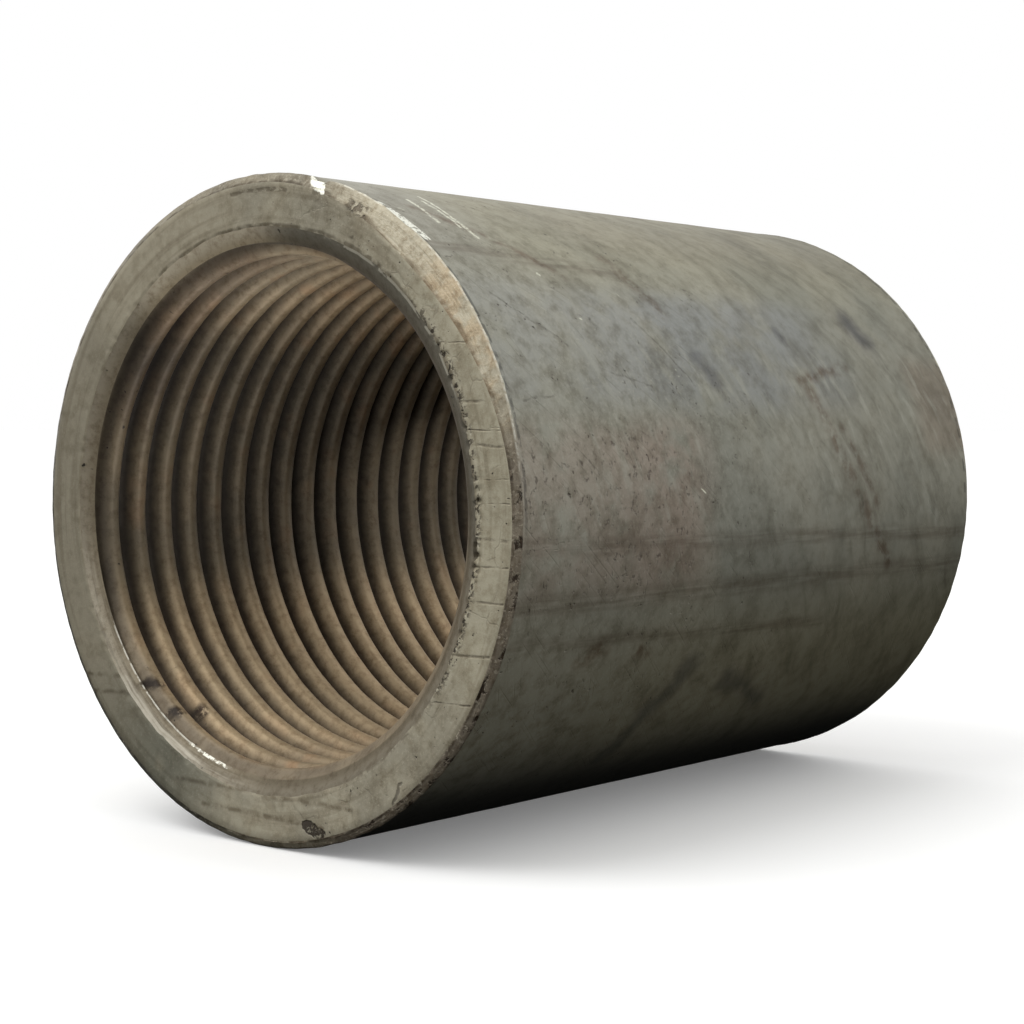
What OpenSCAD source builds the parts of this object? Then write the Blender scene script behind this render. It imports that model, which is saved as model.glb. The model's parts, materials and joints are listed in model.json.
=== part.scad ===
// Straight steel pipe coupling: a plain round sleeve with one parallel pipe thread
// tapped right through it, so that a pipe screws in from each end.
// It is turned and tapped from a single length of tube, so it is a single piece.
// Millimetres. The bore's axis is the X axis, and the origin is the middle of the bore.

/* [Sleeve] */
// Outside diameter of the sleeve
outer_d = 40; // [39:0.5:46]
// Length between the two end faces
sleeve_l = 50.8; // [40:0.1:60]
// Width of the broken outer edge, measured across the end face
edge_across = 0.7; // [0.3:0.1:1]
// Width of the broken outer edge, measured along the barrel
edge_along = 0.5; // [0.2:0.1:1]

/* [Thread] */
// Threads in each inch of length
threads_per_inch = 11.5; // [11:0.5:14]
// Diameter across the thread's crests, which is the bored hole
crest_d = 30.6; // [30.2:0.1:30.8]
// Width of a crest, as a share of the pitch
crest_share = 0.3; // [0.25:0.05:0.4]
// Width of a groove's floor, as a share of the pitch
root_share = 0.1; // [0.05:0.01:0.15]
// Angle between a groove's two sides
flank_angle = 60; // [55:5:60]
// How far the sleeve is turned about the bore's axis, which shows only where the thread starts
thread_turn = 60; // [0:15:345]

/* [Mouths] */
// Diameter of each mouth at the end face
mouth_d = 33.6; // [33.4:0.1:34.5]
// Angle between the mouth's cone and the end face
mouth_slope = 40; // [30:5:60]

/* [Quality] */
// Flat steps in one turn of the thread
steps_per_turn = 30; // [16:2:34]

/* [Hidden] */

pitch = 25.4 / threads_per_inch;
crest_r = crest_d / 2;
mouth_r = mouth_d / 2;
outer_r = outer_d / 2;

// A groove's section: its width at the crests, and how deep its two sides let it go
groove_w = (1 - crest_share) * pitch;
root_w = root_share * pitch;
groove_depth = (groove_w - root_w) / 2 / tan(flank_angle / 2);
root_r = crest_r + groove_depth;

// The cone that leads a pipe into the thread
mouth_depth = (mouth_r - crest_r) * tan(mouth_slope);

// The cutter reaches into the open hole by its inset, and past both end faces by its overrun
cutter_inset = 0.3;
inset_w = groove_w + 2 * cutter_inset * tan(flank_angle / 2);
overrun = 0.8 * pitch;
step_angle = 360 / steps_per_turn;
cutter_l = sleeve_l + 2 * overrun;
cutter_steps = ceil(cutter_l / pitch * steps_per_turn);

steel = [0.53, 0.51, 0.46];

// The section of the sleeve's wall without its thread: x is the radius, y the length
module wall_section() {
    polygon([
        [crest_r, -sleeve_l / 2 + mouth_depth],
        [mouth_r, -sleeve_l / 2],
        [outer_r - edge_across, -sleeve_l / 2],
        [outer_r, -sleeve_l / 2 + edge_along],
        [outer_r, sleeve_l / 2 - edge_along],
        [outer_r - edge_across, sleeve_l / 2],
        [mouth_r, sleeve_l / 2],
        [crest_r, sleeve_l / 2 - mouth_depth]
    ]);
}

// One section of the groove cutter, as [radius, offset along the axis]
groove_section = [
    [crest_r - cutter_inset, -inset_w / 2],
    [root_r, -root_w / 2],
    [root_r, root_w / 2],
    [crest_r - cutter_inset, inset_w / 2]
];

// The place of a section's point on the right-hand helix, after a number of steps
function on_helix(point, step) = [
    point[0] * cos(step * step_angle),
    point[0] * sin(step * step_angle),
    point[1] - cutter_l / 2 + step * pitch / steps_per_turn
];

// The solid that cuts the thread: the groove's section swept along the helix
module groove_cutter() {
    side = len(groove_section);
    last = cutter_steps * side;
    points = [for (step = [0 : cutter_steps]) for (point = groove_section) on_helix(point, step)];
    start_cap = [[for (i = [side - 1 : -1 : 0]) i]];
    end_cap = [[for (i = [0 : side - 1]) last + i]];
    sides = [
        for (step = [0 : cutter_steps - 1]) for (i = [0 : side - 1])
            let (a = step * side + i, b = step * side + (i + 1) % side)
                each [[a, b, a + side], [b, b + side, a + side]]
    ];
    polyhedron(points, concat(start_cap, sides, end_cap));
}

module sleeve() {
    color(steel)
        rotate([thread_turn, 0, 0])
            rotate([0, 90, 0])
                difference() {
                    rotate_extrude($fn = 180) wall_section();
                    groove_cutter();
                }
}

sleeve();
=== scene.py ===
"""A straight steel pipe coupling with a parallel thread tapped right through it, lying on its side.

The bore's axis is X and the origin is the middle of the bore. Lengths here are in millimetres
until a mesh or a light is made, and angles on the sleeve are in degrees from the near side (-Y)
up over the top (+Z).
"""

import json
import math
from itertools import pairwise

import bpy
import numpy as np
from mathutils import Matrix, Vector, noise


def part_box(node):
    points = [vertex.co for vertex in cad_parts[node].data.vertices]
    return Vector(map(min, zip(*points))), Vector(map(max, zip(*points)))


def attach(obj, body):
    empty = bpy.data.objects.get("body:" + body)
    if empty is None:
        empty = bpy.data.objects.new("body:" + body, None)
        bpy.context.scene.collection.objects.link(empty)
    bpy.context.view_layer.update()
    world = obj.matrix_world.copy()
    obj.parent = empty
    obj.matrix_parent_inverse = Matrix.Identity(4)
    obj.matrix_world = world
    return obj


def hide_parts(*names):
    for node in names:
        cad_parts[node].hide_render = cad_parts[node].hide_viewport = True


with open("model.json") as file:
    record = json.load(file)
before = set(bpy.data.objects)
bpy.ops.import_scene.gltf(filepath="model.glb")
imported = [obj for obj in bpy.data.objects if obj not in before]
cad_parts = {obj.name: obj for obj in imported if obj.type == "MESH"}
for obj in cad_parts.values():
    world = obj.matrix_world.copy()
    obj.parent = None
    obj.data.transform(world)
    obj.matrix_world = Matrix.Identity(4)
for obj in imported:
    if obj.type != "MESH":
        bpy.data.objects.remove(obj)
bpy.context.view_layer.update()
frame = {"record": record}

MM = 0.001

# Driving dimensions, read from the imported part
low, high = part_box("sleeve")
HALF_L = (high.x - low.x) / 2 / MM
OUTER_R = (high.z - low.z) / 2 / MM
thread_mount = next(m for m in frame["record"]["mounts"] if m["name"] == "thread_right")
CREST_R = thread_mount["dims"]["r_mm"]

# The thread and the mouths, as part.scad makes them
PITCH = 25.4 / 11.5
GROOVE_DEPTH = 1.15
FIRST_GROOVE = -HALF_L + 0.283 * PITCH
MOUTH_R = 16.8
MOUTH_DEPTH = 1.26
MOUTH_LIP_R = 16.05
MOUTH_LIP_DEPTH = 0.55

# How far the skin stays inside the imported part, and how far a burr stands up from it
SKIN = 0.05
BURR = 0.035

# The thread's crests in the skin, and the inner edge of the mouth's burr line
SKIN_CREST_R = CREST_R + 0.02
LIP_EDGE_R = MOUTH_LIP_R - 0.07

# Columns round each part of the surface. Each is twice the next.
RIM_COLUMNS = 720
BARREL_COLUMNS = 360
THREAD_COLUMNS = 180

NEAR_END = -1
FAR_END = 1

# Edges sharper than this, in degrees, are shaded as sharp
SHARP_EDGE = 50


# ---- shape

def bump(gap, width):
    """A smooth bump, of height 1 where the gap is 0 and of height 0 beyond the width either side."""
    t = np.clip(1 - np.abs(gap) / width, 0, 1)
    return t * t * (3 - 2 * t)


def angle_gap(angle, centre):
    """The smallest turn from centre to angle, in degrees."""
    return (angle - centre + 180) % 360 - 180


def angle_bump(angle, centre, width):
    """A smooth bump of height 1 at one angle."""
    return bump(angle_gap(angle, centre), width)


def grain(x, angle, radius, size, seed):
    """Smooth noise from -1 to 1 at points on the sleeve, with features of the given size."""
    turn = np.radians(angle)
    points = zip(
        np.ravel(np.broadcast_to(x, np.shape(turn))),
        np.ravel(radius * np.cos(turn)),
        np.ravel(radius * np.sin(turn)),
        strict=True,
    )
    found = [noise.noise(Vector(p) / size + Vector((seed * 7.3, seed * 3.1, seed))) for p in points]
    return np.array(found).reshape(np.shape(turn))


def columns(count):
    """The angles of evenly spaced columns round the axis."""
    return np.arange(count) * 360.0 / count


def ring(x, radius, angle):
    """A row of points round the axis."""
    turn = np.radians(angle)
    return np.stack([np.broadcast_to(x, np.shape(turn)), -radius * np.cos(turn), radius * np.sin(turn)], -1)


class End:
    """One end of the sleeve: its edge break, end face and mouth, each as rows of points round the axis."""

    def __init__(self, side):
        self.side = side
        self.seed = 2 + side
        self.angle = columns(RIM_COLUMNS)
        near = side == NEAR_END
        wide_at = 47 if near else 160
        wide = angle_bump(self.angle, wide_at, 42)
        wobble = grain(0, self.angle, OUTER_R, 9, self.seed)
        self.across = 0.5 + 0.08 * wobble + (0.95 if near else 0.5) * wide
        self.along = 0.28 + 0.04 * wobble + 0.22 * wide
        self.mouth_r = MOUTH_R + 0.06 * grain(0, self.angle, MOUTH_R, 12, self.seed + 5)
        self.mouth_r += 0.07 * grain(0, self.angle, MOUTH_R, 0.9, self.seed + 7)
        if near:
            self.mouth_r += 0.25 * angle_bump(self.angle, 45, 35)

    def place(self, depth, radius, angle):
        """A row of points at a depth below this end's face."""
        return ring(self.side * (HALF_L - depth), radius, angle)

    def crumble(self, radius, strength):
        """How deep the torn metal beside the mouth is at a radius, in pits of about half a millimetre."""
        angle = self.angle
        torn = 0.3 + angle_bump(angle, 8, 45)
        fine = grain(0, angle, radius, 0.42, self.seed + 11)
        coarse = grain(0, angle, radius, 1.3, self.seed + 12)
        return strength * torn * np.clip(fine + 0.5 * coarse - 0.22, 0, 1)

    def nick(self):
        """The chips in this end's outer edge, as a share of full depth: two near the top, or one behind."""
        if self.side != NEAR_END:
            return angle_bump(self.angle, 200, 3)
        chip = angle_bump(self.angle, 75.6, 2.2)
        return chip + 0.3 * angle_bump(self.angle, 56, 5)

    def edge_rows(self):
        """From the barrel over its burred edge and down the edge break to the face."""
        angle = self.angle
        skin_r = OUTER_R - SKIN
        ragged = grain(0, angle, OUTER_R, 0.8, self.seed + 3)
        burr = np.clip(0.5 + ragged, 0, 1) * BURR
        chip = self.nick()
        face_r = OUTER_R - self.across
        rows = [
            (self.along + 0.34, skin_r - 0.10 * chip),
            (self.along + 0.16, skin_r + 0.3 * burr - 0.28 * chip),
            (self.along + 0.06, skin_r + burr - 0.36 * chip),
            (self.along - 0.02 + 0.05 * ragged, skin_r + 0.5 * burr - 0.05 - 0.40 * chip),
        ]
        for share in (0.3, 0.55, 0.8):
            rough = 0.05 * grain(share, angle, OUTER_R, 0.7, self.seed + 4)
            depth = self.along * (1 - share) + rough + 0.30 * chip * (1 - share)
            rows.append((depth, skin_r - self.across * share))
        rows.append((0.05 + 0.12 * chip, face_r + 0.03))
        rows.append((0.015, face_r - 0.05))
        return [self.place(d, r, angle) for d, r in rows]

    def face_rows(self):
        """Across the end face to the mouth's torn edge."""
        angle = self.angle
        start = OUTER_R - self.across - 0.05
        rows = []
        for share in (0.18, 0.36, 0.54, 0.68):
            radius = start + (self.mouth_r - start) * share
            wave = 0.012 * grain(share, angle, radius, 3, self.seed + 6)
            rows.append(self.place(0.014 + np.clip(wave, -0.01, 0.02), radius, angle))
        for gap, strength in ((0.62, 0.10), (0.42, 0.22), (0.26, 0.36), (0.12, 0.5)):
            radius = self.mouth_r + gap
            rows.append(self.place(0.015 + self.crumble(radius, strength), radius, angle))
        radius = self.mouth_r + 0.03
        rows.append(self.place(0.05 + self.crumble(radius, 0.55), radius, angle))
        return rows

    def mouth_rows(self):
        """Down the mouth's cone as far as its burr line, still with the rim's columns."""
        angle = self.angle
        rows = []
        for share, strength in ((0.14, 0.3), (0.4, 0.1)):
            radius = self.mouth_r + (MOUTH_LIP_R - self.mouth_r) * share
            depth = MOUTH_LIP_DEPTH * share + self.crumble(radius, strength)
            rows.append(self.place(depth, radius, angle))
        return rows

    def lip_rows(self):
        """The thin burr line halfway down the mouth, with half as many columns."""
        angle = columns(RIM_COLUMNS // 2)
        ragged = grain(0, angle, MOUTH_LIP_R, 0.9, self.seed + 9)
        rows = [
            (MOUTH_LIP_DEPTH - 0.10, MOUTH_LIP_R + 0.13),
            (MOUTH_LIP_DEPTH - 0.03, MOUTH_LIP_R + 0.02 - 0.05 * np.clip(ragged, 0, 1)),
            (MOUTH_LIP_DEPTH + 0.04, LIP_EDGE_R),
        ]
        return [self.place(d, r, angle) for d, r in rows]


# One pitch of the thread from a crest's middle to the next, as shares of the pitch and of the groove's depth
THREAD_SECTION = [
    (0.0, 0.0),
    (0.10, 0.015),
    (0.17, 0.10),
    (0.25, 0.38),
    (0.35, 0.78),
    (0.44, 0.97),
    (0.56, 0.97),
    (0.65, 0.78),
    (0.75, 0.38),
    (0.83, 0.10),
    (0.90, 0.015),
]
SECTION_SHARES = np.array([s for s, _ in THREAD_SECTION] + [1.0])
SECTION_DEPTHS = np.array([d for _, d in THREAD_SECTION] + [0.0])


def helix_x(angle):
    """Where a groove's middle is along the axis, against the angle. The thread is right-hand."""
    return FIRST_GROOVE + PITCH * (180.0 - angle) / 360.0


def thread_r(x, angle):
    """The thread's radius at any place along the bore."""
    phase = ((x - helix_x(angle)) / PITCH + 0.5) % 1.0
    depth = np.interp(phase, SECTION_SHARES, SECTION_DEPTHS)
    return SKIN_CREST_R + GROOVE_DEPTH * depth


def cone_r(depth):
    """The mouth's cone below its burr line."""
    share = (depth - MOUTH_LIP_DEPTH) / (MOUTH_DEPTH - MOUTH_LIP_DEPTH)
    return LIP_EDGE_R + (CREST_R - MOUTH_LIP_R) * share


# Depths below the end face of the rows between the burr line and the full thread
RUN_IN_DEPTHS = np.concatenate([np.arange(0.68, 1.5, 0.105), np.arange(1.55, 2.6, 0.15)])


def run_in_rows(end):
    """The cone's lower half and the thread's first turn, where the groove grows out of the cone."""
    angle = columns(THREAD_COLUMNS)
    rows = []
    for depth in RUN_IN_DEPTHS:
        x = np.full_like(angle, end.side * (HALF_L - depth))
        radius = np.maximum(thread_r(x, angle), cone_r(depth))
        rows.append(end.place(depth, radius, angle))
    return rows


def helix_columns():
    """The thread between its two run-ins, as columns of (key, point). A key follows one line of the helix."""
    reach = HALF_L - RUN_IN_DEPTHS[-1] - 0.07
    per_pitch = len(THREAD_SECTION)
    laps = math.ceil(2 * HALF_L / PITCH) + 1
    found = []
    for angle in columns(THREAD_COLUMNS):
        turn = math.radians(angle)
        middle = helix_x(angle) - PITCH / 2
        column = []
        for key in range(laps * per_pitch):
            lap, step = divmod(key, per_pitch)
            share, depth = THREAD_SECTION[step]
            x = middle + (lap + share) * PITCH
            if abs(x) < reach:
                radius = SKIN_CREST_R + GROOVE_DEPTH * depth
                place = Vector((x * 0.8, radius * math.cos(turn), radius * math.sin(turn)))
                radius += 0.03 * noise.noise(place)
                column.append((key, (x, -radius * math.cos(turn), radius * math.sin(turn))))
        found.append(column)
    return found


# Shallow dents in the barrel: (place along the axis, angle, radius, depth)
BARREL_DENTS = [
    (16.3, 36, 2.2, 0.10),
    (-8.4, 46, 1.8, 0.08),
    (-17.5, -24, 1.5, 0.08),
    (4.0, 100, 2.6, 0.09),
    (-12.0, 150, 2.0, 0.08),
    (12.0, 205, 2.4, 0.10),
    (19.5, 120, 1.4, 0.08),
    (-3.0, 232, 2.0, 0.08),
]


def barrel_rows():
    """The barrel between its two edges. Rows lie closer together near the ends, where the edges are."""
    angle = columns(BARREL_COLUMNS)
    half = HALF_L - 1.1
    rows = []
    for t in np.linspace(-1, 1, 61):
        x = half * math.copysign(1 - (1 - abs(t)) ** 1.25, t)
        swell = 0.007 * grain(x, angle, OUTER_R, 6, 21) + 0.012 * grain(x, angle, OUTER_R, 1.6, 22)
        dents = 0
        for along, centre, reach, depth in BARREL_DENTS:
            gap = np.hypot(x - along, OUTER_R * np.radians(angle_gap(angle, centre)))
            dents = dents + depth * bump(gap, reach)
        rows.append(ring(x, OUTER_R - SKIN - 0.03 + np.clip(swell, -0.03, 0.03) - dents, angle))
    return rows


# A key past every key on the helix
BEYOND = 9999


class Surface:
    """Collects rows of points round the axis and joins them into one closed skin."""

    def __init__(self):
        self.points = []
        self.faces = []
        self.slots = []

    def row(self, points):
        """Adds a row of points and gives back their numbers."""
        start = len(self.points)
        self.points.extend(tuple(p) for p in points)
        return list(range(start, start + len(points)))

    def join(self, one, other, slot):
        """Joins two rows, where other has as many columns as one, or half or twice as many."""
        if len(other) > len(one):
            self.join_flipped(other, one, slot)
            return
        ratio = len(one) // len(other)
        for i in range(len(other)):
            j = (i + 1) % len(other)
            run = [one[(i * ratio + k) % len(one)] for k in range(ratio + 1)]
            if ratio == 1:
                self.add([run[0], run[1], other[j], other[i]], slot)
            else:
                self.add([run[0], run[1], other[i]], slot)
                self.add([run[1], run[2], other[j], other[i]], slot)

    def join_flipped(self, wide, narrow, slot):
        """Joins two rows with the faces turned over."""
        count = len(self.faces)
        self.join(wide, narrow, slot)
        for i in range(count, len(self.faces)):
            self.faces[i].reverse()

    def add(self, face, slot):
        self.faces.append(face)
        self.slots.append(slot)

    def join_helix(self, first, keyed, last, slot):
        """Joins the rows first and last across columns of keyed points, one for each point in a row."""
        held = [[(key, self.row([point])[0]) for key, point in column] for column in keyed]
        per_pitch = len(THREAD_SECTION)
        count = len(held)
        for i in range(count):
            j = (i + 1) % count
            shift = -per_pitch if j == 0 else 0
            moved = [(key + shift, point) for key, point in held[j]]
            left = [(-BEYOND, first[i]), *held[i], (BEYOND, last[i])]
            right = [(-BEYOND, first[j]), *moved, (BEYOND, last[j])]
            self.zip_columns(left, right, slot)

    def zip_columns(self, left, right, slot):
        """Joins two columns of keyed points, going on first where the next key is the lower one."""
        a = b = 0
        while a < len(left) - 1 or b < len(right) - 1:
            next_left = left[a + 1][0] if a < len(left) - 1 else math.inf
            next_right = right[b + 1][0] if b < len(right) - 1 else math.inf
            if next_left == next_right:
                self.add([left[a][1], right[b][1], right[b + 1][1], left[a + 1][1]], slot)
                a += 1
                b += 1
            elif next_left < next_right:
                self.add([left[a][1], right[b][1], left[a + 1][1]], slot)
                a += 1
            else:
                self.add([left[a][1], right[b][1], right[b + 1][1]], slot)
                b += 1


# Material slots
BARREL, EDGE, FACE, BORE = range(4)

# How many rows of the edge still belong to the barrel, up to its burr
BURR_ROWS = 3


def sleeve_surface():
    """The whole skin: the barrel, each end from the barrel inward, and the thread between them."""
    surface = Surface()
    barrel = [surface.row(r) for r in barrel_rows()]
    for one, other in pairwise(barrel):
        surface.join(one, other, BARREL)
    last = {}
    for side, start in ((NEAR_END, barrel[0]), (FAR_END, barrel[-1])):
        end = End(side)
        edge = end.edge_rows()
        inside = end.mouth_rows() + end.lip_rows() + run_in_rows(end)
        rows = [(start, BARREL)]
        rows += [(surface.row(r), BARREL) for r in edge[:BURR_ROWS]]
        rows += [(surface.row(r), EDGE) for r in edge[BURR_ROWS:]]
        rows += [(surface.row(r), FACE) for r in end.face_rows()]
        rows += [(surface.row(r), BORE) for r in inside]
        for (one, _), (other, slot) in pairwise(rows):
            surface.join(one, other, slot)
        last[side] = rows[-1][0]
    surface.join_helix(last[NEAR_END], helix_columns(), last[FAR_END], BORE)
    return surface


def sleeve_object(materials):
    """The visible sleeve, as one closed mesh with a material for each kind of surface."""
    surface = sleeve_surface()
    mesh = bpy.data.meshes.new("sleeve_skin")
    mesh.from_pydata([Vector(p) * MM for p in surface.points], [], surface.faces)
    mesh.polygons.foreach_set("material_index", surface.slots)
    for material in materials:
        mesh.materials.append(material)
    obj = bpy.data.objects.new("steel_sleeve", mesh)
    bpy.context.scene.collection.objects.link(obj)
    bpy.context.view_layer.objects.active = obj
    obj.select_set(True)
    bpy.ops.object.mode_set(mode="EDIT")
    bpy.ops.mesh.select_all(action="SELECT")
    bpy.ops.mesh.normals_make_consistent(inside=False)
    bpy.ops.object.mode_set(mode="OBJECT")
    mesh.shade_smooth()
    mesh.set_sharp_from_angle(angle=math.radians(SHARP_EDGE))
    return obj


# ---- materials

def rgb(*levels):
    """A colour given as 0 to 255 screen levels, as the linear values that a shader takes."""
    shares = [level / 255 for level in levels]
    return tuple(s / 12.92 if s <= 0.04045 else ((s + 0.055) / 1.055) ** 2.4 for s in shares) + (1.0,)


def add_node(tree, kind, values=None, **settings):
    """A new node, with its inputs joined to sockets or set to plain values."""
    made = tree.nodes.new(kind)
    for name, setting in settings.items():
        setattr(made, name, setting)
    for key, value in (values or {}).items():
        if isinstance(value, bpy.types.NodeSocket):
            tree.links.new(value, made.inputs[key])
        else:
            made.inputs[key].default_value = value
    return made


class Paint:
    """One material's nodes. Each method adds a node and gives back its output. Lengths are in millimetres."""

    def __init__(self, name):
        self.material = bpy.data.materials.new(name)
        self.material.use_nodes = True
        self.tree = self.material.node_tree
        self.shader = self.tree.nodes["Principled BSDF"]
        metres = self.node("ShaderNodeTexCoord").outputs["Object"]
        self.place = self.scale(metres, 1000)
        parts = self.node("ShaderNodeSeparateXYZ", {0: self.place}).outputs
        self.x, self.y, self.z = parts[0], parts[1], parts[2]
        toward = self.math("MULTIPLY", self.y, -1.0)
        squares = self.plus(self.times(self.y, self.y), self.times(self.z, self.z))
        self.radius = self.math("SQRT", squares)
        from_top = self.math("ARCTAN2", toward, self.z)
        self.turn = self.minus(90.0, self.math("MULTIPLY", from_top, 180 / math.pi))
        self.arc = self.math("MULTIPLY", self.turn, math.radians(OUTER_R))
        self.flat = self.join(self.x, self.arc, 0.0)
        self.inward = self.minus(HALF_L, self.math("ABSOLUTE", self.x))

    def node(self, kind, values=None, **settings):
        return add_node(self.tree, kind, values, **settings)

    def math(self, operation, *values, clamp=False):
        inputs = dict(enumerate(values))
        return self.node("ShaderNodeMath", inputs, operation=operation, use_clamp=clamp).outputs[0]

    def vector(self, operation, *values):
        return self.node("ShaderNodeVectorMath", dict(enumerate(values)), operation=operation).outputs[0]

    def scale(self, vector, factor):
        return self.node("ShaderNodeVectorMath", {0: vector, 3: factor}, operation="SCALE").outputs[0]

    def dot(self, vector, other):
        inputs = {0: vector, 1: other}
        return self.node("ShaderNodeVectorMath", inputs, operation="DOT_PRODUCT").outputs["Value"]

    def join(self, x, y, z):
        return self.node("ShaderNodeCombineXYZ", {0: x, 1: y, 2: z}).outputs[0]

    def plus(self, one, other):
        return self.math("ADD", one, other)

    def minus(self, one, other):
        return self.math("SUBTRACT", one, other)

    def times(self, first, *others):
        for other in others:
            first = self.math("MULTIPLY", first, other)
        return first

    def most(self, first, *others):
        for other in others:
            first = self.math("MAXIMUM", first, other)
        return first

    def noise(self, vector, size, detail=3.0, roughness=0.55):
        values = {"Vector": vector, "Scale": 1 / size, "Detail": detail, "Roughness": roughness}
        return self.node("ShaderNodeTexNoise", values).outputs[0]

    def ramp(self, value, start, end):
        """0 at start and 1 at end, with a smooth step between."""
        values = {0: value, 1: start, 2: end}
        return self.node("ShaderNodeMapRange", values, interpolation_type="SMOOTHSTEP").outputs[0]

    def patches(self, size, detail, low, high, roughness=0.55):
        """Noise at the place itself, as patches: 0 where it is under low and 1 where it is over high."""
        return self.ramp(self.noise(self.place, size, detail, roughness), low, high)

    def between(self, value, low, high, soft):
        """1 between low and high, which fades to 0 over a soft edge outside them."""
        return self.times(self.ramp(value, low - soft, low), self.ramp(value, high + soft, high))

    def sector(self, low, high, soft):
        """1 between two angles round the axis, which fades to 0 over a soft edge outside them."""
        return self.between(self.turn, low, high, soft)

    def mix(self, share, one, other, blend="MIX"):
        values = {0: share, 6: one, 7: other}
        return self.node("ShaderNodeMix", values, data_type="RGBA", blend_type=blend).outputs[2]

    def shade(self, colour, share, tint):
        """Multiplies a colour by a tint where share is 1."""
        return self.mix(share, colour, tint, "MULTIPLY")

    def wobble(self, vector, size, reach):
        """The vector moved about by noise, up to about reach each way."""
        values = {"Vector": vector, "Scale": 1 / size, "Detail": 2.0}
        colour = self.node("ShaderNodeTexNoise", values).outputs[1]
        offset = self.vector("SUBTRACT", colour, (0.5, 0.5, 0.5))
        return self.vector("ADD", vector, self.scale(offset, 2 * reach))

    def stretch(self, angle, along, across, vector=None):
        """Flat coordinates turned by an angle, in units of along and across, for marks drawn out along it."""
        cosine = math.cos(math.radians(angle))
        sine = math.sin(math.radians(angle))
        vector = vector or self.flat
        first = self.dot(vector, (cosine / along, sine / along, 0))
        other = self.dot(vector, (-sine / across, cosine / across, 0))
        return self.join(first, other, 0.0)

    def stroke(self, vector, start, end, width, soft=0.5):
        """A line between two flat places: 1 along its middle, and 0 at its width after a soft edge."""
        run = Vector((end[0] - start[0], end[1] - start[1], 0))
        from_start = self.vector("SUBTRACT", vector, (start[0], start[1], 0))
        unit = tuple(run / max(run.length_squared, 1e-6))
        share = self.math("ADD", self.dot(from_start, unit), 0.0, clamp=True)
        apart = self.vector("SUBTRACT", from_start, self.scale(tuple(run), share))
        gap = self.node("ShaderNodeVectorMath", {0: apart}, operation="LENGTH").outputs["Value"]
        return self.ramp(gap, width, width * (1 - soft))

    def finish(self, colour, roughness, metallic, height, relief):
        """Joins up the shader. A height of 1 stands for as many millimetres as relief says."""
        links = self.tree.links
        links.new(colour, self.shader.inputs["Base Color"])
        for socket, value in (("Roughness", roughness), ("Metallic", metallic)):
            if isinstance(value, bpy.types.NodeSocket):
                links.new(value, self.shader.inputs[socket])
            else:
                self.shader.inputs[socket].default_value = value
        values = {"Strength": 1.0, "Distance": relief * MM, "Height": height}
        links.new(self.node("ShaderNodeBump", values).outputs[0], self.shader.inputs["Normal"])
        return self.material


def arc_of(turn):
    """The distance round the barrel from the near side to an angle."""
    return OUTER_R * math.radians(turn)


# Marks on the barrel, each as (x, angle) at its two ends and its width
DARK_STREAKS = [
    ((-24.6, -13.5), (25, -13.5), 1.04),
    ((-24.6, -4), (25, -7), 0.85),
    ((-24.6, -20), (8, -23), 0.66),
    ((-24.6, 50), (-9, 46), 0.95),
    ((-24.6, 128), (6, 125), 0.95),
    ((-12, 158), (13, 161), 0.76),
    ((-24.6, 196), (-4, 198), 0.95),
    ((2, 226), (25, 222), 0.95),
]
BROWN_MARKS = [
    ((5.9, 22), (7.9, 10), 1.0),
    ((7.9, 10), (11.3, -3), 1.0),
    ((8.8, 14), (12.3, 0), 0.7),
    ((11.3, -3), (14.7, -12), 1.0),
    ((5.1, 24), (11.7, 27), 0.7),
    ((-8.7, 50), (-7.0, 37), 1.0),
    ((-17.7, -24), (-15.8, -22.5), 1.0),
    ((-12.3, -24), (-11.2, -23.4), 0.9),
    ((-22.2, 62), (-14.5, 44), 0.7),
    ((2, 118), (7, 104), 1.0),
    ((-14, 140), (-10, 128), 1.0),
    ((9, 176), (15, 166), 1.0),
]
SMEARS = [
    ((-5.9, -29), (-8.2, -40), 1.62),
    ((-8.2, -40), (-8.6, -51), 1.26),
    ((-1, -33), (5, -40), 1.44),
    ((15.4, 38.5), (16.2, 33), 2.1),
    ((-5.6, 27), (-4.4, 23), 1.3),
    ((5.2, 34.5), (5.6, 33.2), 0.8),
    ((12, 140), (13, 148), 1.98),
]
FINE_SCRATCHES = [
    ((-22.6, 39), (-18.1, 29), 0.16),
    ((-16.1, 25), (-11.3, 22), 0.14),
    ((-23.7, 19), (-20.8, 20), 0.12),
    ((-24.0, -4.4), (-21.5, -3.6), 0.10),
    ((-24.0, -5.0), (-22.0, -4.6), 0.08),
    ((-13.3, -14), (-13.3, -11.5), 0.10),
    ((-10.5, 35), (-7.0, 22), 0.16),
]
BRIGHT_SCRATCHES = [
    ((-21.2, 66), (-21.6, 57), 0.24),
    ((-19.2, 69), (-19.6, 59), 0.18),
    ((-19.6, 59), (-19.5, 53), 0.28),
    ((-19.9, 66), (-20.0, 56), 0.18),
    ((-16.9, 44.2), (-16.8, 43.9), 0.16),
    ((-10.3, 40.8), (-10.2, 40.0), 0.07),
    ((-8.4, 25), (-8.3, 23.8), 0.07),
    ((-15.6, 34.6), (-15.5, 34.4), 0.09),
    ((-8.3, 4.0), (-7.9, 3.1), 0.07),
    ((-23.6, 61), (-23.4, 60.6), 0.16),
]
# The torn, bright lip of the barrel beside the widest part of the edge break
TORN_LIP = [
    ((-24.85, 62), (-24.75, 57), 0.34),
    ((-24.8, 59), (-24.55, 53), 0.44),
    ((-24.6, 54), (-24.4, 51), 0.30),
]


def flat_marks(p, vector, marks, soft):
    """All the strokes in a list, as one share."""
    found = [
        p.stroke(vector, (a[0], arc_of(a[1])), (b[0], arc_of(b[1])), width, soft)
        for a, b, width in marks
    ]
    return p.most(*found)


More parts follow.
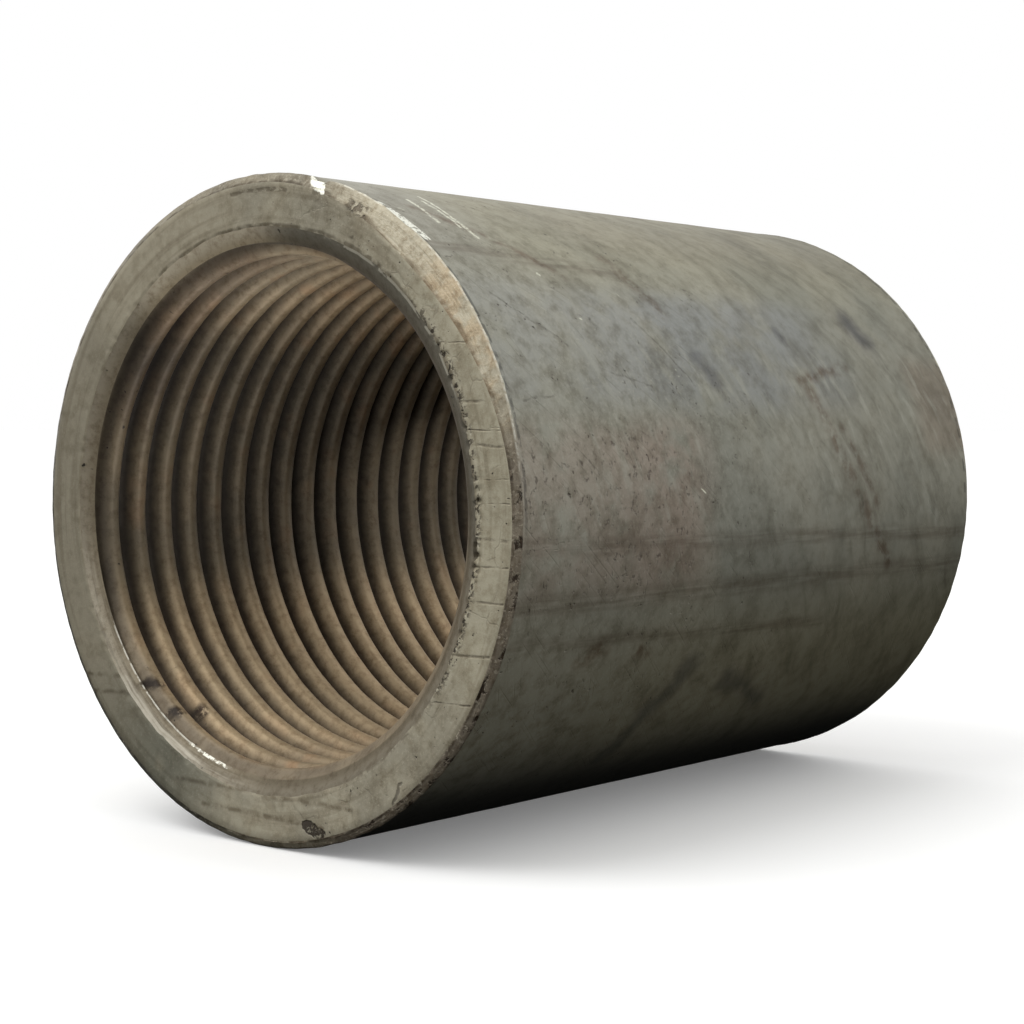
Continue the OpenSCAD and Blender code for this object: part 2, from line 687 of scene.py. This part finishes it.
def barrel_films(p, loose, purple):
    """The steel's greys under films of oxide, lighter towards the near end and darker towards the far end."""
    cloud = p.noise(p.place, 9, 4)
    colour = p.mix(p.ramp(cloud, 0.38, 0.62), rgb(136, 136, 123), rgb(151, 149, 134))

    # Films of oxide, each in its own part of the barrel
    blue = p.times(p.between(p.x, -25, 6, 9), p.sector(22, 38, 7))
    blue = p.times(blue, p.ramp(p.noise(loose, 5, 3), 0.3, 0.55))
    colour = p.mix(p.times(blue, 0.7), colour, rgb(136, 139, 138))
    colour = p.mix(p.times(purple, 0.85), colour, rgb(148, 132, 117))
    top = p.times(p.ramp(p.turn, 40, 62), p.ramp(p.turn, 140, 100))
    colour = p.mix(p.times(top, 0.45), colour, rgb(140, 132, 119))
    low_side = p.most(p.ramp(p.turn, -8, -30), p.ramp(p.turn, 185, 215))
    colour = p.mix(p.times(low_side, 0.85), colour, rgb(147, 142, 118))
    rust = p.times(p.between(p.x, 21, 25, 3), p.sector(12, 26, 6))
    colour = p.mix(p.times(rust, 0.4), colour, rgb(142, 120, 98))

    # Lighter towards the near end and darker towards the far end
    near = p.ramp(p.x, -6, -22)
    colour = p.mix(p.times(near, 0.45), colour, rgb(166, 164, 149))
    far = p.ramp(p.x, -4, 22)
    return p.shade(colour, far, rgb(232, 232, 228))


def barrel_wear(p, colour, loose, sharp, mottle):
    """Broad streaks left by wiping round the barrel, and mottling."""
    drift = p.wobble(p.wobble(p.flat, 9, 2.2), 3, 0.7)
    wiped = p.noise(p.stretch(-60, 8, 1.6, drift), 1, 5, 0.6)
    wiped_share = p.plus(0.45, p.times(p.ramp(p.x, -10, 6), 0.4))
    colour = p.shade(colour, p.times(p.ramp(wiped, 0.46, 0.72), wiped_share), rgb(212, 210, 202))
    patches = p.noise(p.place, 3.2, 5, 0.6)
    colour = p.shade(colour, p.times(p.ramp(patches, 0.46, 0.70), 0.6), rgb(206, 203, 194))
    dashes = p.noise(p.stretch(-66, 3.5, 0.9, loose), 1, 3)
    lit = p.times(p.ramp(dashes, 0.50, 0.72), p.sector(0, 26, 10))
    colour = p.mix(p.times(lit, 0.5), colour, rgb(162, 162, 148))
    mottle_share = p.plus(0.45, p.times(sharp, p.ramp(p.turn, 70, 44), 0.35))
    colour = p.shade(colour, p.times(p.ramp(mottle, 0.42, 0.70), mottle_share), rgb(202, 198, 188))
    grit = p.noise(p.place, 0.22, 3, 0.7)
    colour = p.mix(p.times(p.ramp(grit, 0.50, 0.72), sharp, 0.28), colour, rgb(178, 176, 160))
    olive = p.times(p.ramp(p.turn, 34, 56), p.ramp(p.x, -24, -14))
    return p.shade(colour, p.times(olive, 0.8), rgb(252, 250, 232))


def barrel_marks(p, colour, loose, torn):
    """Long dark streaks, brown marks, smears, and painted shade darkening the underside."""
    streaks = flat_marks(p, p.wobble(p.flat, 7, 0.3), DARK_STREAKS, 0.9)
    broken = p.ramp(p.noise(p.stretch(0, 6, 0.4), 1, 4), 0.3, 0.62)
    colour = p.shade(colour, p.times(streaks, broken, 0.62), rgb(186, 174, 162))
    patchy = p.patches(0.9, 4, 0.34, 0.62)
    brown = flat_marks(p, torn, BROWN_MARKS, 1.0)
    colour = p.shade(colour, p.times(brown, patchy, 0.85), rgb(180, 156, 136))
    smears = flat_marks(p, p.wobble(loose, 1.5, 0.8), SMEARS, 1.0)
    colour = p.shade(colour, p.times(smears, 0.75), rgb(172, 172, 178))
    plum = p.stroke(p.wobble(loose, 1.5, 0.6), (15.5, arc_of(38)), (16.1, arc_of(34)), 1.5, 1.0)
    colour = p.shade(colour, p.times(plum, 0.7), rgb(158, 158, 174))

    # Painted shade: the underside darkened to near-black
    under = p.most(p.ramp(p.turn, -38, -60), p.ramp(p.turn, 218, 240))
    return p.mix(p.times(under, 0.9), colour, rgb(42, 44, 44))


def barrel_pits(p, purple):
    """Dark pits, in clusters and alone, thickest in the purple oxide patch."""
    speck = p.noise(p.place, 0.30, 2)
    cluster = p.noise(p.place, 2.2, 2)
    pits = p.times(p.ramp(speck, 0.64, 0.73), p.ramp(cluster, 0.50, 0.64), p.ramp(p.x, 14, -10))
    specks = p.ramp(p.noise(p.stretch(-70, 0.8, 0.24), 1, 2), 0.68, 0.78)
    pits = p.most(pits, p.times(specks, p.ramp(cluster, 0.40, 0.56), p.ramp(p.x, 12, -14)))
    squeezed = p.join(p.times(p.x, 2.2), p.times(p.arc, 1.5), 0.0)
    film_specks = p.ramp(p.noise(squeezed, 1, 5, 0.7), 0.57, 0.67)
    return p.most(pits, p.times(film_specks, purple, 0.65))


def barrel_bright(p, ragged):
    """The bright scratches, the thin burr and the torn lip, as two shares: all but the lip, and the lip."""
    scratches = p.times(flat_marks(p, p.wobble(p.flat, 0.6, 0.16), BRIGHT_SCRATCHES, 0.8), ragged)
    burr = p.times(p.ramp(p.radius, OUTER_R - 0.045, OUTER_R - 0.028), p.sector(18, 60, 8))
    burr = p.times(burr, p.patches(0.6, 4, 0.44, 0.60), 0.7)
    crinkle = p.patches(0.5, 4, 0.42, 0.52, 0.7)
    torn_lip = p.times(flat_marks(p, p.wobble(p.flat, 0.9, 0.2), TORN_LIP, 0.3), crinkle)
    return p.most(scratches, burr), torn_lip


def barrel_material():
    """Dull grey steel with bluish and purple-brown films, handling scratches, pits and long wipe marks."""
    p = Paint("barrel_steel")
    loose = p.wobble(p.flat, 2.5, 0.35)
    torn = p.wobble(loose, 0.5, 0.12)
    sharp = p.ramp(p.x, 12, -16)
    mottle = p.noise(p.place, 1.1, 6, 0.66)
    purple = p.times(p.between(p.x, -26, -11, 6), p.sector(-9, 11, 8))
    purple = p.times(purple, p.ramp(p.noise(loose, 4, 4), 0.32, 0.52))

    colour = barrel_films(p, loose, purple)
    colour = barrel_wear(p, colour, loose, sharp, mottle)

    # Fine scratches in two directions
    cross = p.noise(p.stretch(-38, 5, 0.13), 1, 2)
    other = p.noise(p.stretch(-64, 4, 0.12), 1, 2)
    fine = p.most(p.ramp(cross, 0.60, 0.74), p.ramp(other, 0.62, 0.76))
    fine_share = p.plus(0.25, p.times(sharp, 0.35))
    colour = p.shade(colour, p.times(fine, fine_share), rgb(205, 202, 194))

    colour = barrel_marks(p, colour, loose, torn)
    pits = barrel_pits(p, purple)
    colour = p.shade(colour, p.times(pits, 0.85), rgb(118, 102, 88))
    ragged = p.patches(0.3, 3, 0.32, 0.56)
    dark_lines = flat_marks(p, torn, FINE_SCRATCHES, 0.9)
    colour = p.shade(colour, p.times(dark_lines, ragged, 0.5), rgb(150, 144, 134))
    lip = p.times(p.between(p.inward, 0.55, 0.70, 0.10), p.sector(4, 60, 8))
    lip = p.times(lip, p.patches(0.7, 3, 0.40, 0.56), 0.7)
    colour = p.shade(colour, lip, rgb(128, 126, 122))
    bright, torn_lip = barrel_bright(p, ragged)
    colour = p.mix(p.times(bright, 0.85), colour, rgb(226, 226, 204))
    colour = p.mix(torn_lip, colour, rgb(240, 240, 226))
    bright = p.most(bright, torn_lip)

    height = p.minus(p.times(mottle, 0.5), p.times(fine, 0.15))
    height = p.minus(height, p.times(pits, 0.9))
    height = p.minus(height, p.times(dark_lines, 0.3))
    rough = p.plus(0.42, p.times(mottle, 0.22))
    rough = p.minus(rough, p.times(bright, 0.2))
    metal = p.plus(0.35, p.times(bright, 0.5))
    return p.finish(colour, rough, metal, height, 0.05)


# Dark lines across the near end face: sharp ones on the near side by their height, and soft
# ones as (y, z) at their two ends
NEAR_SIDE_LINES = [9.7, 6.4, 4.9, 4.1, 2.2, 0.9, -1.0, -2.5, -4.4, -7.4, -10.1]
SOFT_LINES = [
    ((-7.5, -16.9), (7.5, -16.65)),
    ((-5.2, -18.2), (5.2, -17.95)),
    ((13.0, -10.7), (16.0, -10.8)),
    ((12.3, -11.7), (15.4, -11.9)),
]


def face_lines():
    """The sharp lines as their two ends (y, z) and a width, from the mouth to the broken outer edge."""
    found = []
    for z in NEAR_SIDE_LINES:
        start, end = [-math.sqrt(r * r - z * z) for r in (MOUTH_R + 0.1, OUTER_R - 0.7)]
        drift = 0.08 * math.sin(9 * z)
        width = 0.11 + 0.04 * math.sin(5 * z)
        found.append(((start, z), (end, z + drift), width))
    return found


# Freshly torn metal
BARE = rgb(240, 239, 226)


def at_near_end(p):
    """1 on the near end and 0 from the sleeve's middle on."""
    return p.ramp(p.x, 0, -20)


def nick(p):
    """The bright chip in the near end's top edge, which tapers from the edge break onto the face."""
    where = p.wobble(p.join(p.arc, p.radius, 0.0), 0.4, 0.16)
    steps = [(76.8, 0.05, 0.5), (76.0, 0.3, 0.42), (75.0, 0.5, 0.30), (74.3, 0.7, 0.18)]
    blobs = []
    for turn, inset, width in steps:
        start = (arc_of(turn), OUTER_R - inset)
        end = (start[0] - 0.15, start[1] - 0.1)
        blobs.append(p.stroke(where, start, end, width, 0.3))
    return p.times(p.most(*blobs), at_near_end(p))


def pit_cluster(p):
    """The patch of dark pits beside the bright chip."""
    across = p.between(p.radius, OUTER_R - 1.05, OUTER_R - 0.7, 0.3)
    where = p.times(p.sector(63.5, 66.5, 2), across)
    pits = p.patches(0.4, 4, 0.46, 0.60)
    return p.times(where, pits, 0.8, at_near_end(p))


def face_greys(p):
    """The end face's own warm greys, darker on the far side and greenish low down."""
    cloud = p.noise(p.place, 3.5, 4)
    colour = p.mix(p.ramp(cloud, 0.35, 0.65), rgb(150, 144, 125), rgb(164, 157, 136))
    left = p.times(p.ramp(p.turn, 75, 130), p.ramp(p.turn, 262, 225))
    colour = p.mix(p.times(left, 0.8), colour, rgb(133, 126, 107))
    green = p.times(p.ramp(p.turn, 205, 248), p.ramp(p.turn, 269, 238))
    green = p.times(green, p.patches(4, 2, 0.30, 0.5))
    colour = p.mix(p.times(green, 0.85), colour, rgb(92, 93, 80))
    pale = p.sector(-22, 42, 18)
    colour = p.mix(p.times(pale, 0.6), colour, rgb(184, 177, 153))
    upper_left = p.sector(108, 132, 16)
    return p.mix(p.times(upper_left, 0.7), colour, rgb(166, 158, 136))


def face_grain(p, colour, focus, mottle):
    """Faint turned rings, blotches and grit."""
    rings = p.noise(p.join(p.times(p.radius, 1.6), p.times(p.turn, 0.02), 0.0), 1, 3)
    colour = p.shade(colour, p.times(p.ramp(rings, 0.48, 0.68), 0.6), rgb(206, 200, 190))
    blotch = p.noise(p.place, 1.7, 5, 0.62)
    colour = p.shade(colour, p.times(p.ramp(blotch, 0.46, 0.68), 0.6), rgb(206, 200, 188))
    grit_share = p.plus(0.35, p.times(focus, 0.65))
    colour = p.shade(colour, p.times(p.ramp(mottle, 0.44, 0.68), grit_share, 0.7), rgb(206, 200, 188))
    grit = p.noise(p.place, 0.2, 3, 0.7)
    return p.mix(p.times(p.ramp(grit, 0.52, 0.72), grit_share, 0.35), colour, rgb(188, 182, 162))


def face_cracks(p, across):
    """A net of thin cracks on the near side."""
    values = {"Vector": p.wobble(across, 0.9, 0.35), "Scale": 0.42}
    cells = p.node("ShaderNodeTexVoronoi", values, feature="DISTANCE_TO_EDGE").outputs[0]
    patchy = p.patches(2.1, 2, 0.5, 0.62)
    return p.times(p.ramp(cells, 0.03, 0.004), patchy, p.ramp(p.y, 4, -6))


def face_pits(p, from_mouth):
    """Pits, thick along the mouth on the near side, and the glints between them, as two shares."""
    torn = p.times(p.sector(-28, 36, 14), p.ramp(from_mouth, 0.65, 0.15))
    speck = p.noise(p.place, 0.26, 3)
    edge_pits = p.times(p.ramp(speck, 0.50, 0.60), torn)
    lone_pits = p.times(p.patches(0.3, 2, 0.70, 0.78), p.ramp(p.y, 2, -6))
    glint = p.times(p.patches(0.22, 2, 0.62, 0.70), torn)
    return p.most(edge_pits, lone_pits, pit_cluster(p)), glint


def rust_chip(p, across):
    """The chip of brown rust low on the face, and a gouge beside it."""
    torn_place = p.wobble(p.wobble(across, 0.9, 0.25), 0.3, 0.14)
    chip = p.stroke(torn_place, (-3.8, -18.2), (-5.0, -18.65), 0.40, 0.25)
    gouge = p.stroke(torn_place, (-10.7, -16.2), (-11.3, -14.9), 0.17, 0.8)
    chip = p.times(chip, p.patches(0.42, 4, 0.38, 0.48, 0.7))
    return p.times(p.most(chip, p.times(gouge, 0.6)), at_near_end(p))


def face_material():
    """The warm grey end face, with thin dark lines across it and pits along the mouth's torn edge."""
    p = Paint("face_steel")
    across = p.join(p.y, p.z, 0.0)
    loose = p.wobble(across, 1.1, 0.10)
    focus = p.ramp(p.y, 14, -10)
    mottle = p.noise(p.place, 0.7, 7, 0.74)
    colour = face_grain(p, face_greys(p), focus, mottle)

    lines = p.most(*[p.stroke(loose, start, end, width, 1.0) for start, end, width in face_lines()])
    gaps = p.patches(0.9, 4, 0.36, 0.60)
    lines = p.times(lines, gaps, p.plus(0.3, p.times(at_near_end(p), 0.7)))
    soft_lines = p.most(*[p.stroke(loose, start, end, 0.26, 1.0) for start, end in SOFT_LINES])
    colour = p.shade(colour, p.times(soft_lines, gaps, at_near_end(p), 0.75), rgb(164, 152, 134))
    lines = p.most(lines, p.times(face_cracks(p, across), 0.3))
    line_share = p.plus(0.3, p.times(focus, 0.35))
    colour = p.shade(colour, p.times(lines, line_share), rgb(124, 112, 96))

    # The mouth's dark rim, and a dent in the face above it
    mouth = p.plus(MOUTH_R, p.times(p.sector(35, 55, 24), at_near_end(p), 0.25))
    from_mouth = p.minus(p.radius, mouth)
    rim = p.times(p.ramp(from_mouth, 0.30, 0.08), p.patches(0.9, 3, 0.40, 0.56))
    rim = p.times(rim, p.sector(-60, 120, 10))
    ring_place = p.wobble(p.join(p.arc, p.radius, 0.0), 1.0, 0.12)
    dent = p.stroke(ring_place, (arc_of(83), OUTER_R - 1.05), (arc_of(97), OUTER_R - 1.02), 0.20, 0.8)
    dent = p.times(dent, p.patches(0.5, 3, 0.36, 0.52), at_near_end(p))
    lines = p.most(lines, p.times(rim, 0.8), p.times(dent, 0.7))
    colour = p.shade(colour, p.times(p.most(rim, dent), 0.6), rgb(150, 138, 120))

    pits, glint = face_pits(p, from_mouth)
    colour = p.shade(colour, pits, rgb(100, 91, 78))
    colour = p.mix(p.times(glint, 0.8), colour, rgb(205, 199, 178))
    colour = p.mix(nick(p), colour, BARE)
    chip = rust_chip(p, across)
    colour = p.mix(p.times(chip, 0.95), colour, rgb(44, 34, 20))

    height = p.minus(p.times(mottle, 0.5), p.times(lines, 0.5))
    height = p.minus(height, p.times(pits, 0.8))
    height = p.minus(height, p.times(chip, 0.8))
    rough = p.plus(0.40, p.times(mottle, 0.2))
    return p.finish(colour, rough, 0.35, height, 0.06)


def edge_material():
    """The broken outer edge: a pale tan painted highlight where it is widest and painted shade low on the far
    side, ridged along its length, with bright torn metal.
    """
    p = Paint("edge_steel")
    cloud = p.noise(p.place, 2.5, 3)
    colour = p.mix(p.ramp(cloud, 0.35, 0.65), rgb(134, 127, 110), rgb(152, 144, 124))
    # Painted highlight: pale tan on the upper near side, where the edge is widest and faces the light
    colour = p.mix(p.sector(26, 62, 14), colour, rgb(184, 176, 154))
    orange = p.times(p.sector(20, 42, 8), p.patches(1.2, 2, 0.4, 0.6))
    colour = p.mix(p.times(orange, 0.5), colour, rgb(188, 163, 126))
    brown = p.sector(-70, 8, 10)
    colour = p.mix(p.times(brown, 0.8), colour, rgb(130, 120, 104))
    # Painted shade: dark low on the far side
    dark = p.sector(175, 250, 20)
    colour = p.mix(p.times(dark, 0.85), colour, rgb(76, 76, 68))

    # Ridges along the edge
    ridges = p.noise(p.join(p.times(p.radius, 8.0), p.times(p.arc, 0.3), p.times(p.x, 8.0)), 1, 3)
    colour = p.shade(colour, p.times(p.ramp(ridges, 0.46, 0.70), 0.45), rgb(220, 212, 198))
    mottle = p.noise(p.place, 0.5, 6, 0.72)
    colour = p.shade(colour, p.times(p.ramp(mottle, 0.44, 0.68), 0.7), rgb(192, 181, 164))
    grit = p.noise(p.place, 0.2, 3, 0.7)
    colour = p.mix(p.times(p.ramp(grit, 0.52, 0.72), 0.4), colour, rgb(206, 198, 176))
    seam = p.times(p.ramp(p.inward, 0.11, 0.04), p.patches(1.2, 3, 0.38, 0.55))
    colour = p.shade(colour, p.times(seam, 0.7), rgb(150, 136, 116))
    crumbled = p.sector(-62, 4, 8)
    long_place = p.join(p.x, p.times(p.arc, 0.5), p.radius)
    notches = p.times(crumbled, p.ramp(p.noise(long_place, 0.42, 4, 0.65), 0.54, 0.64))
    crumbs = p.times(crumbled, p.patches(0.36, 3, 0.60, 0.68))
    colour = p.mix(p.times(crumbs, 0.6), colour, rgb(186, 178, 158))
    pits = p.most(pit_cluster(p), notches)
    colour = p.shade(colour, pits, rgb(118, 104, 88))
    bright = p.times(p.ramp(p.radius, OUTER_R - 0.14, OUTER_R - 0.05), p.sector(16, 66, 14))
    bright = p.times(bright, p.ramp(mottle, 0.40, 0.58), 0.6)
    bright = p.most(bright, nick(p))
    colour = p.mix(bright, colour, BARE)

    height = p.plus(p.times(ridges, 0.3), p.times(mottle, 0.7))
    height = p.minus(height, p.times(pits, 0.8))
    rough = p.plus(0.42, p.times(mottle, 0.15))
    metal = p.plus(0.35, p.times(bright, 0.5))
    return p.finish(colour, rough, metal, height, 0.09)


# Small crushed, dirty places on the first crests, low on the far side of the near mouth
CRUSHED_PLACES = [
    ((-24.6, 224.5), (-24.2, 227), 0.55),
    ((-24.5, 234.5), (-24.2, 236.5), 0.55),
    ((-22.3, 235), (-22.3, 237), 0.55),
]


def bore_material():
    """The mouth and the thread: tan on the crests, and darker down in the grooves as painted shade."""
    p = Paint("bore_steel")
    cloud = p.noise(p.place, 4.5, 3)
    crest = p.mix(p.ramp(cloud, 0.38, 0.64), rgb(158, 141, 114), rgb(178, 157, 126))
    warm = p.times(p.patches(2.6, 2, 0.54, 0.72), 0.55)
    crest = p.mix(warm, crest, rgb(186, 150, 113))
    # Painted light: paler crests low on the far side, where light falls into the bore
    crest = p.mix(p.times(p.sector(205, 248, 20), 0.6), crest, rgb(196, 174, 138))
    # Painted shade: darker down in the grooves, by depth below the crests
    depth_share = p.math("DIVIDE", p.minus(p.radius, CREST_R), GROOVE_DEPTH)
    groove = p.ramp(p.plus(depth_share, p.times(p.noise(p.place, 0.8, 3), 0.3)), 0.22, 1.0)
    colour = p.mix(groove, crest, rgb(78, 66, 51))

    # Painted shade: a dark band along the far side of the thread
    painted_mid_shade = p.sector(144, 192, 24)
    colour = p.shade(colour, p.times(painted_mid_shade, 0.9), rgb(134, 136, 134))
    # Painted light: paler near the mouth at the top of the bore
    upper = p.sector(92, 116, 16)
    colour = p.mix(p.times(upper, p.ramp(p.x, -10, -22), 0.3), colour, rgb(206, 196, 172))
    # Darker on the first turns of the thread, from near the top round towards the far side
    darker_first_turns = p.times(p.sector(104, 150, 18), p.ramp(p.inward, 8, 3), 0.85)
    colour = p.shade(colour, darker_first_turns, rgb(196, 188, 186))

    # The mouth itself is barer metal than the thread
    near_face = p.ramp(p.inward, 1.5, 0.9)
    land = p.mix(p.ramp(cloud, 0.4, 0.6), rgb(121, 109, 90), rgb(140, 127, 105))
    # Painted shade: the mouth's land darker on the far side, with the band in the thread
    shut = p.sector(140, 196, 20)
    land = p.shade(land, shut, rgb(138, 134, 126))
    land = p.mix(p.sector(5, 100, 20), land, rgb(96, 88, 74))
    colour = p.mix(near_face, colour, land)
    cone = p.ramp(p.inward, 0.66, 0.58)
    above = p.sector(5, 75, 22)
    painted_cone_light = p.sector(205, 252, 24)
    # Painted light: the cone paler at the top, where it faces down and gets little light
    cone_colour = p.mix(p.sector(93, 122, 16), rgb(124, 116, 99), rgb(182, 172, 150))
    cone_colour = p.mix(above, cone_colour, rgb(104, 99, 85))
    streaky = p.ramp(p.noise(p.join(p.times(p.inward, 6), p.times(p.arc, 0.12), 0.0), 1, 4), 0.3, 0.6)
    # Painted light: the cone paler in streaks low on the far side, where light falls on it
    cone_colour = p.mix(p.times(painted_cone_light, streaky), cone_colour, rgb(166, 158, 140))
    # Painted shade: the cone darker deeper into the mouth
    cone_colour = p.shade(cone_colour, p.ramp(p.inward, 0.1, 0.6), rgb(216, 210, 198))
    colour = p.mix(cone, colour, cone_colour)

    mottle = p.noise(p.place, 0.6, 6, 0.72)
    colour = p.shade(colour, p.times(p.ramp(mottle, 0.42, 0.72), 0.65), rgb(184, 172, 154))
    specks = p.times(p.patches(0.7, 2, 0.70, 0.76), p.ramp(p.inward, 4.5, 1.0))
    colour = p.shade(colour, specks, rgb(70, 60, 48))
    crushed = flat_marks(p, p.wobble(p.flat, 0.6, 0.2), CRUSHED_PLACES, 0.9)
    colour = p.shade(colour, p.times(crushed, p.ramp(mottle, 0.34, 0.50)), rgb(96, 82, 66))

    # Painted highlight: a pale line at the mouth's edge on the upper near side
    rim = p.times(p.between(p.inward, 0.02, 0.07, 0.03), p.sector(28, 66, 8))
    rim = p.times(rim, p.patches(0.9, 3, 0.44, 0.56))
    colour = p.mix(p.times(rim, 0.6), colour, rgb(190, 185, 167))
    # Painted highlight along the cone's upper edge, low on the far side
    gleam = p.times(p.between(p.inward, 0.02, 0.22, 0.12), p.sector(224, 246, 8))
    colour = p.mix(p.times(gleam, streaky, 0.55), colour, rgb(212, 206, 190))

    # The thin bright burr round the bottom of the mouth, and its torn patch
    ragged = p.patches(0.5, 3, 0.36, 0.5)
    burr = p.times(p.between(p.inward, 0.54, 0.57, 0.03), p.sector(212, 252, 8), ragged, 0.55)
    patch = p.times(p.between(p.inward, 0.50, 0.60, 0.03), p.sector(246, 256, 3))
    patch = p.times(patch, p.patches(0.3, 3, 0.48, 0.58))
    bright = p.most(burr, patch)
    colour = p.mix(bright, colour, rgb(246, 244, 232))

    rough = p.plus(0.48, p.times(mottle, 0.2))
    rough = p.plus(rough, p.times(groove, 0.15))
    metal = p.plus(0.30, p.times(bright, 0.5))
    return p.finish(colour, rough, metal, mottle, 0.05)


def paper_material():
    """Matt, almost white paper for the floor."""
    p = Paint("floor_paper")
    fibre = p.noise(p.place, 1.5, 3)
    colour = p.mix(fibre, (0.90, 0.90, 0.89, 1), (0.93, 0.93, 0.92, 1))
    p.shader.inputs["Emission Color"].default_value = (1, 1, 1, 1)
    p.shader.inputs["Emission Strength"].default_value = 0.15
    return p.finish(colour, 0.9, 0.0, fibre, 0.01)


# ---- stage, light and camera

# Half the floor's width, in metres
FLOOR_REACH = 6.0


def make_floor():
    """A plain pale floor. Its own light stays off the sleeve, whose underside is nearly black."""
    mesh = bpy.data.meshes.new("floor")
    corners = [(-1, -1), (1, -1), (1, 1), (-1, 1)]
    points = [(x * FLOOR_REACH, y * FLOOR_REACH, low.z) for x, y in corners]
    mesh.from_pydata(points, [], [(0, 1, 2, 3)])
    mesh.materials.append(paper_material())
    floor = bpy.data.objects.new("floor", mesh)
    floor.visible_diffuse = False
    floor.visible_glossy = False
    bpy.context.scene.collection.objects.link(floor)


# The photograph's viewing angle, the distances of its eye and aim, and its lens
VIEW_TURN = math.radians(39.8)
VIEW_DROP = math.radians(2.46)
AHEAD = Vector((
    math.cos(VIEW_DROP) * math.cos(VIEW_TURN),
    math.cos(VIEW_DROP) * math.sin(VIEW_TURN),
    -math.sin(VIEW_DROP),
))
RIGHT = Vector((math.sin(VIEW_TURN), -math.cos(VIEW_TURN), 0))
ABOVE = RIGHT.cross(AHEAD)
EYE_DISTANCE = 7.0755 * OUTER_R
AIM_LEFT = 0.065 * OUTER_R
AIM_BELOW = 0.041 * OUTER_R
LENS = 72.43


def make_camera():
    """A little above level, 40 degrees off the bore's axis, with the near mouth to the left."""
    data = bpy.data.cameras.new("camera")
    data.sensor_width = 36
    data.lens = LENS
    data.clip_start = 0.01
    camera = bpy.data.objects.new("camera", data)
    eye = -AHEAD * EYE_DISTANCE - RIGHT * AIM_LEFT - ABOVE * AIM_BELOW
    camera.location = eye * MM
    camera.rotation_euler = AHEAD.to_track_quat("-Z", "Y").to_euler()
    bpy.context.scene.collection.objects.link(camera)
    bpy.context.scene.camera = camera


def make_light(name, towards, distance, size, power, aim=(0, 0, 0)):
    """A square soft box, in a direction from the point that it faces. Its sizes are in metres."""
    data = bpy.data.lights.new(name, "AREA")
    data.shape = "SQUARE"
    data.size = size
    data.energy = power
    light = bpy.data.objects.new(name, data)
    light.visible_camera = False
    direction = Vector(towards).normalized()
    light.location = Vector(aim) * MM + direction * distance
    light.rotation_euler = (-direction).to_track_quat("-Z", "Y").to_euler()
    bpy.context.scene.collection.objects.link(light)


# The dome's strength above and below the horizon, and how far below it the change reaches
SKY = 1.0
GROUND = 0.0
HORIZON_DEPTH = 0.12

# The dim patch: its direction, its strength, and the cosines at its outer edge and its full depth
SHADE_TOWARDS = (-0.72, -0.62, -0.30)
SHADE = 0.06
SHADE_EDGE = 0.62
SHADE_CORE = 0.92


def make_world():
    """An even white studio dome, dark below the horizon, with a dim patch at the photographer's place."""
    world = bpy.data.worlds.new("studio")
    world.use_nodes = True
    tree = world.node_tree

    def eased(value, start, end, first, last):
        values = {0: value, 1: start, 2: end, 3: first, 4: last}
        return add_node(tree, "ShaderNodeMapRange", values, interpolation_type="SMOOTHSTEP").outputs[0]

    direction = add_node(tree, "ShaderNodeTexCoord").outputs["Generated"]
    up = add_node(tree, "ShaderNodeSeparateXYZ", {0: direction}).outputs[2]
    towards = {0: direction, 1: Vector(SHADE_TOWARDS).normalized()}
    facing = add_node(tree, "ShaderNodeVectorMath", towards, operation="DOT_PRODUCT").outputs["Value"]
    sky = eased(up, -HORIZON_DEPTH, 0.0, GROUND, SKY)
    shade = eased(facing, SHADE_EDGE, SHADE_CORE, 1.0, SHADE)
    level = add_node(tree, "ShaderNodeMath", {0: sky, 1: shade}, operation="MULTIPLY").outputs[0]
    background = tree.nodes["Background"]
    background.inputs["Color"].default_value = (1.0, 1.0, 1.0, 1)
    tree.links.new(level, background.inputs["Strength"])
    bpy.context.scene.world = world


make_camera()
make_floor()
make_world()
# Each light's direction, distance, size and power in watts, then what it faces
make_light("key", (-0.60, 0.20, 0.77), 0.5, 0.3, 0.9)
make_light("mouth_card", (-0.55, 0.0, -0.83), 0.042, 0.03, 0.003, aim=(-32, 12, 16))
make_light("upper_thread_card", (-0.20, -0.25, -0.95), 0.018, 0.008, 0.0018, aim=(-21, 7, 13.5))
make_light("lower_thread_card", (-0.25, 0.0, 0.97), 0.020, 0.008, 0.0013, aim=(6, 5, -14))
make_light("side_card", (-0.05, -1.0, -0.15), 0.09, 0.06, 0.012, aim=(-22, -20, 0))
bpy.context.scene.view_settings.view_transform = "Standard"

materials = [barrel_material(), edge_material(), face_material(), bore_material()]
sleeve = sleeve_object(materials)
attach(sleeve, "root")
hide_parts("sleeve")
